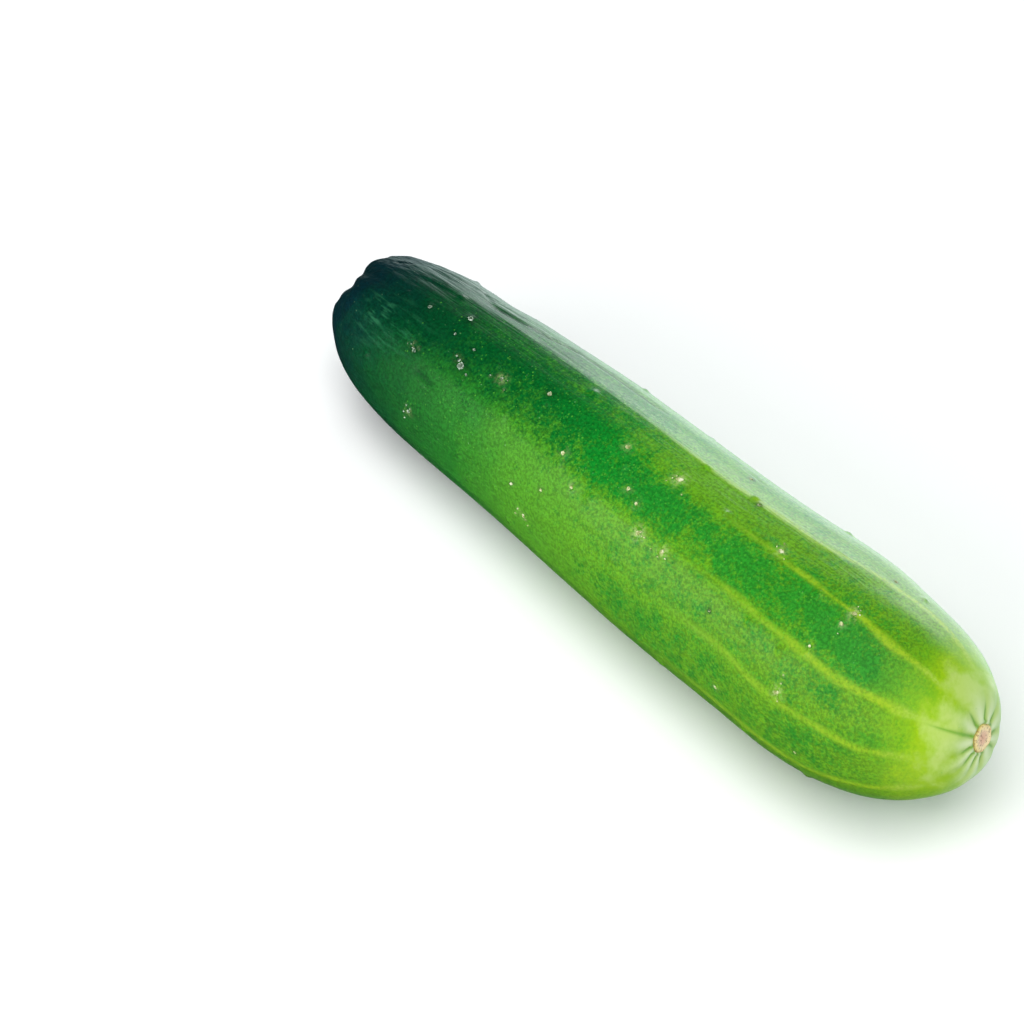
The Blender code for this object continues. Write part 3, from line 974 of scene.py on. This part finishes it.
# %% [markdown]
# Materials
#
# A material is a small network of nodes. One helper adds a node with its settings and links, whatever kind of
# node it is. Colours are written as the hex values that a screen shows, and turned to the linear values that
# light works in.


# %% Colours and nodes
def linear(hex_colour):
    """The linear colour of a screen's hex value."""
    parts = [int(hex_colour[i : i + 2], 16) / 255 for i in (1, 3, 5)]
    return tuple(p / 12.92 if p <= 0.04045 else ((p + 0.055) / 1.055) ** 2.4 for p in parts) + (1.0,)


def add_node(tree, kind, settings=None, inputs=None, stops=None):
    """Adds a node. Inputs are values or other nodes' sockets. Stops are a ramp's (position, hex) pairs."""
    node = tree.nodes.new(kind)
    for name, value in (settings or {}).items():
        setattr(node, name, value)
    for name, value in (inputs or {}).items():
        if isinstance(value, bpy.types.NodeSocket):
            tree.links.new(value, node.inputs[name])
        else:
            node.inputs[name].default_value = value
    for i, (position, colour) in enumerate(stops or ()):
        if i < 2:
            element = node.color_ramp.elements[i]
            element.position = position
        else:
            element = node.color_ramp.elements.new(position)
        element.color = linear(colour)
    return node


# %% Short names for kinds of node, and settings that come back
ATTRIBUTE = "ShaderNodeAttribute"
NOISE = "ShaderNodeTexNoise"
RAMP = "ShaderNodeValToRGB"
RANGE = "ShaderNodeMapRange"
MATH = "ShaderNodeMath"
MIX = "ShaderNodeMix"
BUMP = "ShaderNodeBump"
SMOOTH = {"interpolation_type": "SMOOTHSTEP"}
ADD = {"operation": "ADD"}
MULTIPLY = {"operation": "MULTIPLY"}
# A times B plus C
SCALE_AND_ADD = {"operation": "MULTIPLY_ADD"}
COLOURS = {"data_type": "RGBA"}
SHADES = {"data_type": "RGBA", "blend_type": "MULTIPLY"}


def new_material(name):
    material = bpy.data.materials.new(name)
    material.use_nodes = True
    return material, material.node_tree, material.node_tree.nodes["Principled BSDF"]


# %% [markdown]
# The skin's material
#
# Cucumber skin is a thin wax over green cells. It shades from a blue-black green at the stem to fresh green
# and, at the blossom end, a pale yellow-green. The wax gives a soft, wide sheen. Pale flecks about half a
# millimetre wide dot the green. Each of these is one step below, mixed over the one before.

# %% Read the attributes
skin_material, tree, skin_shader = new_material("waxy_cucumber_skin")
NUMBERS = ("from_stem", "lane_shade", "stripe", "crease", "pale_lobe", "furrow", "painted_scab_shade", "stain")
NUMBERS += ("painted_sheen_streaks", "wrinkled")
kept = {name: add_node(tree, ATTRIBUTE, {"attribute_name": name}).outputs["Fac"] for name in NUMBERS}
where = add_node(tree, ATTRIBUTE, {"attribute_name": "skin_mm"}).outputs["Vector"]

# %% Noise in millimetres: the size of the blotches, the detail and the roughness of each
NOISES = {
    "blotch": (11.0, 2.0, 0.55),
    "patch": (3.2, 2.0, 0.55),
    "grain": (0.72, 2.0, 0.7),
    "tone": (0.6, 3.0, 0.65),
    "crust": (0.9, 3.0, 0.7),
    "fine": (0.5, 3.0, 0.6),
}
SHEEN_STREAK_SPACING = 1.1
mottled = {}
for name, (size, detail, roughness) in NOISES.items():
    inputs = {"Vector": where, "Scale": 1 / size, "Detail": detail, "Roughness": roughness}
    mottled[name] = add_node(tree, NOISE, None, inputs).outputs[0]
print("noises:", ", ".join(mottled))

# %% Two greens that change along the fruit, a little further on in some blotches than in others
dark_stops = (
    (0.05, "#03262c"),
    (0.15, "#014023"),
    (0.33, "#005f22"),
    (0.5, "#0c8624"),
    (0.68, "#289124"),
    (0.897, "#2c9120"),
    (0.955, "#66a812"),
    (0.975, "#90bb12"),
    (0.992, "#b0cb60"),
)
pale_stops = (
    (0.05, "#042e34"),
    (0.15, "#0a5428"),
    (0.3, "#2a8424"),
    (0.4, "#52a022"),
    (0.56, "#66a91c"),
    (0.72, "#68a61a"),
    (0.927, "#70aa14"),
    (0.968, "#97be12"),
    (0.991, "#b2cc66"),
)
further = add_node(tree, MATH, SCALE_AND_ADD, {0: mottled["blotch"], 1: 0.09, 2: -0.075}).outputs[0]
further = add_node(tree, MATH, SCALE_AND_ADD, {0: mottled["patch"], 1: 0.06, 2: further}).outputs[0]
age = add_node(tree, MATH, ADD, {0: kept["from_stem"], 1: further}).outputs[0]
dark_green = add_node(tree, RAMP, None, {0: age}, dark_stops).outputs[0]
pale_green = add_node(tree, RAMP, None, {0: age}, pale_stops).outputs[0]

# %% Mottled between the two, as the lane's shade says
shade = add_node(tree, MATH, SCALE_AND_ADD, {0: mottled["grain"], 1: 2.0, 2: kept["lane_shade"]}).outputs[0]
shade = add_node(tree, MATH, SCALE_AND_ADD, {0: mottled["patch"], 1: 1.4, 2: shade}).outputs[0]
dark_share = add_node(tree, RANGE, SMOOTH, {0: shade, 1: 1.7, 2: 2.75}).outputs[0]
colour = add_node(tree, MIX, COLOURS, {0: dark_share, 6: pale_green, 7: dark_green}).outputs[2]

# %% Cells lighter and darker by turns, but not on the pale blossom end
cell_tone = add_node(tree, RANGE, SMOOTH, {0: mottled["tone"], 1: 0.34, 2: 0.66}).outputs[0]
cell_shade = add_node(tree, RAMP, None, {0: cell_tone}, ((0.0, "#c6c6c6"), (1.0, "#ffffff"))).outputs[0]
tone_stops = ((0.0, "#ffffff"), (0.92, "#ffffff"), (0.975, "#303030"))
tone_share = add_node(tree, RAMP, None, {0: kept["from_stem"]}, tone_stops).outputs[0]
colour = add_node(tree, MIX, SHADES, {0: tone_share, 6: colour, 7: cell_shade}).outputs[2]

# %% Painted sheen: paler streaks that run out from the stem
lengthwise = add_node(tree, "ShaderNodeMapping", None, {"Vector": where, "Scale": (0.07, 1.0, 1.0)}).outputs[0]
inputs = {"Vector": lengthwise, "Scale": 1 / SHEEN_STREAK_SPACING, "Detail": 2.0, "Roughness": 0.6}
streak = add_node(tree, NOISE, None, inputs).outputs[0]
streak = add_node(tree, RANGE, SMOOTH, {0: streak, 1: 0.5, 2: 0.7, 4: 0.55}).outputs[0]
streak = add_node(tree, MATH, MULTIPLY, {0: streak, 1: kept["painted_sheen_streaks"]}).outputs[0]
colour = add_node(tree, MIX, COLOURS, {0: streak, 6: colour, 7: linear("#2f7850")}).outputs[2]

# %% The stripes along the ribs, broken up by the same noise, and paler where they reach the blossom end
broken = add_node(tree, MATH, SCALE_AND_ADD, {0: mottled["grain"], 1: 2.6, 2: -0.95}).outputs[0]
broken = add_node(tree, MATH, SCALE_AND_ADD, {0: mottled["patch"], 1: 1.2, 2: broken}).outputs[0]
stripe_value = add_node(tree, MATH, MULTIPLY, {0: kept["stripe"], 1: broken}).outputs[0]
stripe_share = add_node(tree, RANGE, SMOOTH, {0: stripe_value, 1: 0.12, 2: 1.1, 4: 0.85}).outputs[0]
stripe_stops = ((0.6, "#84b02a"), (0.8, "#8eb41e"), (0.935, "#9aba14"), (0.972, "#b4ce60"))
stripe_colour = add_node(tree, RAMP, None, {0: kept["from_stem"]}, stripe_stops).outputs[0]
colour = add_node(tree, MIX, COLOURS, {0: stripe_share, 6: colour, 7: stripe_colour}).outputs[2]

# %% Flecks: cell size in mm, biggest reach in cells, how many cells have one along the fruit, strength, colour
GREEN_FLECKS = ((0.16, "#000000"), (0.34, "#b0b0b0"), (0.5, "#e8e8e8"), (0.72, "#d0d0d0"), (0.92, "#303030"))
PALE_FLECKS = ((0.0, "#505050"), (0.08, "#a0a0a0"), (0.3, "#808080"), (0.6, "#707070"), (0.9, "#303030"))
FLECKS = (
    (0.55, 0.45, GREEN_FLECKS, 0.62, "#5cae34"),
    (1.1, 0.19, PALE_FLECKS, 0.5, "#8fc08c"),
)
for cell_size, biggest, zone_stops, strength, fleck_colour in FLECKS:
    cells = add_node(tree, "ShaderNodeTexVoronoi", None, {"Vector": where, "Scale": 1 / cell_size})
    draws = add_node(tree, "ShaderNodeSeparateColor", None, {0: cells.outputs["Color"]}).outputs
    zone = add_node(tree, RAMP, None, {0: kept["from_stem"]}, zone_stops).outputs[0]
    chosen = add_node(tree, MATH, {"operation": "LESS_THAN"}, {0: draws[0], 1: zone}).outputs[0]
    reach = add_node(tree, RANGE, None, {0: draws[1], 3: 0.1, 4: biggest}).outputs[0]
    inputs = {0: reach, 1: cells.outputs["Distance"]}
    inside = add_node(tree, MATH, {"operation": "SUBTRACT"}, inputs).outputs[0]
    dot = add_node(tree, RANGE, SMOOTH, {0: inside, 1: 0.0, 2: 0.14}).outputs[0]
    bright = add_node(tree, RANGE, None, {0: draws[2], 3: 0.2 * strength, 4: strength}).outputs[0]
    share = add_node(tree, MATH, MULTIPLY, {0: dot, 1: chosen}).outputs[0]
    share = add_node(tree, MATH, MULTIPLY, {0: share, 1: bright}).outputs[0]
    colour = add_node(tree, MIX, COLOURS, {0: share, 6: colour, 7: linear(fleck_colour)}).outputs[2]
    print(f"flecks up to {2 * biggest * cell_size:.1f} mm wide, one in each {cell_size} mm at most")

# %% Pale lobes, painted shade in the creases, furrows and folds and round the scabs, and stains
# Each one is a colour mixed over by its attribute
crusty = add_node(tree, RANGE, SMOOTH, {0: mottled["crust"], 1: 0.42, 2: 0.6}).outputs[0]
stained = add_node(tree, MATH, MULTIPLY, {0: kept["stain"], 1: crusty}).outputs[0]
LAYERS = (
    (kept["pale_lobe"], 0.75, "#e4edc4"),
    # Painted shade in the creases of the blossom end
    (kept["crease"], 0.8, "#6aa526"),
    # Painted shade in the furrows and folds
    (kept["furrow"], 0.5, "#04201a"),
    # Painted shade round the scabs
    (kept["painted_scab_shade"], 0.85, "#042412"),
    (stained, 0.65, "#c6d090"),
)
for amount, strength, layer_colour in LAYERS:
    share = add_node(tree, MATH, MULTIPLY, {0: amount, 1: strength}).outputs[0]
    colour = add_node(tree, MIX, COLOURS, {0: share, 6: colour, 7: linear(layer_colour)}).outputs[2]

# %% Wax: sheen, roughness and the finest relief
roughness = add_node(tree, RANGE, SMOOTH, {0: mottled["grain"], 1: 0.3, 2: 0.7, 3: 0.28, 4: 0.36}).outputs[0]
inputs = {0: kept["from_stem"], 1: 0.3, 2: 0.85, 3: 1.0, 4: 0.15}
grainy = add_node(tree, RANGE, SMOOTH, inputs).outputs[0]
fine = add_node(tree, MATH, MULTIPLY, {0: mottled["fine"], 1: grainy}).outputs[0]
fine_bump = add_node(tree, BUMP, None, {"Strength": 0.3, "Distance": 0.05 * MM, "Height": fine})
inputs = {"Vector": lengthwise, "Scale": 1 / 1.4, "Detail": 2.0, "Roughness": 0.5}
shrunk = add_node(tree, NOISE, None, inputs).outputs[0]
shrunk = add_node(tree, MATH, MULTIPLY, {0: shrunk, 1: kept["wrinkled"]}).outputs[0]
inputs = {"Strength": 0.9, "Distance": 0.7 * MM, "Height": shrunk, "Normal": fine_bump.outputs[0]}
bump = add_node(tree, BUMP, None, inputs)
tree.links.new(colour, skin_shader.inputs["Base Color"])
tree.links.new(roughness, skin_shader.inputs["Roughness"])
tree.links.new(bump.outputs[0], skin_shader.inputs["Normal"])
skin_shader.inputs["IOR"].default_value = 1.45
skin_mesh.materials.append(skin_material)
print("skin material:", len(tree.nodes), "nodes")

# %% [markdown]
# Cork
#
# The scars and scabs are cork: dry dead cells, pale tan to pinkish brown, with no gloss. Fine noise breaks the
# colour up, and a dark middle marks the pit.

# %% Cork of the blossom scar
cork, tree, shader = new_material("dry_blossom_cork")
spot = add_node(tree, "ShaderNodeTexCoord").outputs["Object"]
fibre = add_node(tree, NOISE, None, {"Vector": spot, "Scale": 2200.0, "Detail": 4.0}).outputs[0]
middle = add_node(tree, ATTRIBUTE, {"attribute_name": "from_middle"}).outputs["Fac"]
cork_stops = ((0.0, "#e6b49a"), (0.42, "#eec8aa"), (0.68, "#fae4b4"), (0.9, "#f2da98"), (1.0, "#a8a04a"))
cork_colour = add_node(tree, RAMP, None, {0: middle}, cork_stops).outputs[0]
speck = add_node(tree, RANGE, SMOOTH, {0: fibre, 1: 0.52, 2: 0.64, 4: 0.55}).outputs[0]
cork_colour = add_node(tree, MIX, COLOURS, {0: speck, 6: cork_colour, 7: linear("#8a5a44")}).outputs[2]
cork_bump = add_node(tree, BUMP, None, {"Strength": 0.6, "Distance": 0.15 * MM, "Height": fibre})
tree.links.new(cork_colour, shader.inputs["Base Color"])
tree.links.new(cork_bump.outputs[0], shader.inputs["Normal"])
shader.inputs["Roughness"].default_value = 0.85
blossom_scar.data.materials.append(cork)

# %% Dried stem fibre of the stem scar
pad, tree, shader = new_material("dried_stem_fibre")
spot = add_node(tree, "ShaderNodeTexCoord").outputs["Object"]
fibre = add_node(tree, NOISE, None, {"Vector": spot, "Scale": 1500.0, "Detail": 4.0}).outputs[0]
middle = add_node(tree, ATTRIBUTE, {"attribute_name": "from_middle"}).outputs["Fac"]
pad_stops = ((0.0, "#a3a648"), (0.5, "#b9bb62"), (0.84, "#c6c678"), (0.96, "#5d6b2e"), (1.0, "#1e3a20"))
pad_colour = add_node(tree, RAMP, None, {0: middle}, pad_stops).outputs[0]
speck = add_node(tree, RANGE, SMOOTH, {0: fibre, 1: 0.55, 2: 0.7, 4: 0.5}).outputs[0]
pad_colour = add_node(tree, MIX, COLOURS, {0: speck, 6: pad_colour, 7: linear("#6f6a33")}).outputs[2]
pad_bump = add_node(tree, BUMP, None, {"Strength": 0.5, "Distance": 0.15 * MM, "Height": fibre})
tree.links.new(pad_colour, shader.inputs["Base Color"])
tree.links.new(pad_bump.outputs[0], shader.inputs["Normal"])
shader.inputs["Roughness"].default_value = 0.75
stem_scar.data.materials.append(pad)

# %% Cork of the scabs: greyish near the stem, cream further on, dark in an open pit
scab_cork, tree, shader = new_material("pale_scab_cork")
spot = add_node(tree, "ShaderNodeTexCoord").outputs["Object"]
fibre = add_node(tree, NOISE, None, {"Vector": spot, "Scale": 1300.0, "Detail": 3.0}).outputs[0]
grey_stops = ((0.4, "#34523c"), (0.5, "#8ea48e"), (0.64, "#cbd9cb"))
cream_stops = ((0.35, "#83914c"), (0.5, "#bcc48c"), (0.66, "#e4e6c6"))
grey = add_node(tree, RAMP, None, {0: fibre}, grey_stops).outputs[0]
cream = add_node(tree, RAMP, None, {0: fibre}, cream_stops).outputs[0]
spot_x = add_node(tree, "ShaderNodeSeparateXYZ", None, {0: spot}).outputs[0]
creaminess = add_node(tree, RANGE, SMOOTH, {0: spot_x, 1: -0.045, 2: -0.01}).outputs[0]
scab_colour = add_node(tree, MIX, COLOURS, {0: creaminess, 6: grey, 7: cream}).outputs[2]
pit_depth = add_node(tree, ATTRIBUTE, {"attribute_name": "pit"}).outputs["Fac"]
in_pit = add_node(tree, RANGE, SMOOTH, {0: pit_depth, 1: 0.3, 2: 0.9, 4: 0.85}).outputs[0]
scab_colour = add_node(tree, MIX, COLOURS, {0: in_pit, 6: scab_colour, 7: linear("#20361e")}).outputs[2]
tree.links.new(scab_colour, shader.inputs["Base Color"])
shader.inputs["Roughness"].default_value = 0.8
scab_mesh.materials.append(scab_cork)

# %% [markdown]
# Floor, light and camera
#
# A plain pale floor, one broad soft light above, and one low behind the fruit, whose reflection is the pale
# sheen along the far side. A small dim card in front gives the faint sheen on the near side, and one flat
# on the floor stands in for the bright table that the far edge reflects. The camera stands where the
# outline of the fruit matches the picture.

# %% Floor
floor_bm = bmesh.new()
bmesh.ops.create_grid(floor_bm, x_segments=1, y_segments=1, size=3.0)
floor_mesh = bpy.data.meshes.new("floor")
floor_bm.to_mesh(floor_mesh)
floor_bm.free()
floor = bpy.data.objects.new("floor", floor_mesh)
bpy.context.scene.collection.objects.link(floor)
floor_material, tree, shader = new_material("white_studio_floor")
shader.inputs["Base Color"].default_value = linear("#fdfdfd")
shader.inputs["Roughness"].default_value = 0.9
shader.inputs["Specular IOR Level"].default_value = 0.0
floor_mesh.materials.append(floor_material)
floor.visible_glossy = False


# %% Lights
def add_light(name, place, aim, size, watts, shines=True):
    """A square soft light at a place, aimed at a point. One that doesn't shine isn't seen in reflections."""
    data = bpy.data.lights.new(name, "AREA")
    data.shape = "RECTANGLE"
    data.size = size[0]
    data.size_y = size[1]
    data.energy = watts
    light = bpy.data.objects.new(name, data)
    bpy.context.scene.collection.objects.link(light)
    light.location = place
    light.rotation_mode = "QUATERNION"
    light.rotation_quaternion = (Vector(aim) - Vector(place)).to_track_quat("-Z", "Y")
    light.visible_glossy = shines
    return light


AIM = (0.01, 0.0, 0.02)
add_light("top_softbox", (0.15, -0.25, 1.1), AIM, (1.2, 1.2), 14.5, shines=False)
add_light("front_fill", (0.0, -1.0, 0.42), AIM, (1.6, 0.8), 9.0, shines=False)
belly_card = add_light("belly_card", (-0.135, -0.29, 0.135), AIM, (0.18, 0.09), 0.06)
belly_card.visible_camera = False
floor_glow = add_light("floor_glow", (-0.02, 0.25, 0.004), (-0.02, 0.25, 1.0), (0.2, 0.4), 0.3)
floor_glow.visible_camera = False
floor_glow.visible_diffuse = False
add_light("back_softbox", (-0.37, 0.97, 0.27), AIM, (0.7, 0.5), 4.6)

# %% Soft surroundings: pale low down behind the fruit, darker elsewhere
world = bpy.data.worlds.new("studio_surroundings")
bpy.context.scene.world = world
world.use_nodes = True
tree = world.node_tree
direction = add_node(tree, "ShaderNodeTexCoord").outputs["Generated"]
towards = add_node(tree, "ShaderNodeSeparateXYZ", None, {0: direction}).outputs
backwards = add_node(tree, MATH, SCALE_AND_ADD, {0: towards[0], 1: 0.25, 2: towards[1]}).outputs[0]
behind = add_node(tree, RANGE, SMOOTH, {0: backwards, 1: 0.1, 2: 0.66}).outputs[0]
low_down = add_node(tree, RANGE, SMOOTH, {0: towards[2], 1: 0.62, 2: 0.15}).outputs[0]
pale = add_node(tree, MATH, MULTIPLY, {0: behind, 1: low_down}).outputs[0]
inputs = {0: pale, 6: linear("#192829"), 7: linear("#cceae6")}
surroundings = add_node(tree, MIX, COLOURS, inputs).outputs[2]
tree.links.new(surroundings, tree.nodes["Background"].inputs["Color"])
tree.nodes["Background"].inputs["Strength"].default_value = 1.25

# %% Camera
CAMERA_PLACE = (0.31894, -0.31311, 0.48972)
CAMERA_AZIMUTH = math.radians(48.97)
CAMERA_ELEVATION = math.radians(46.43)
camera_data = bpy.data.cameras.new("camera")
camera_data.sensor_width = 36.0
camera_data.lens = 113.13
camera_data.clip_start = 0.01
camera = bpy.data.objects.new("camera", camera_data)
bpy.context.scene.collection.objects.link(camera)
back = Vector(
    (
        math.sin(CAMERA_AZIMUTH) * math.cos(CAMERA_ELEVATION),
        -math.cos(CAMERA_AZIMUTH) * math.cos(CAMERA_ELEVATION),
        math.sin(CAMERA_ELEVATION),
    )
)
camera.location = CAMERA_PLACE
camera.rotation_mode = "QUATERNION"
camera.rotation_quaternion = (-back).to_track_quat("-Z", "Y")
bpy.context.scene.camera = camera
bpy.context.scene.view_settings.view_transform = "Standard"
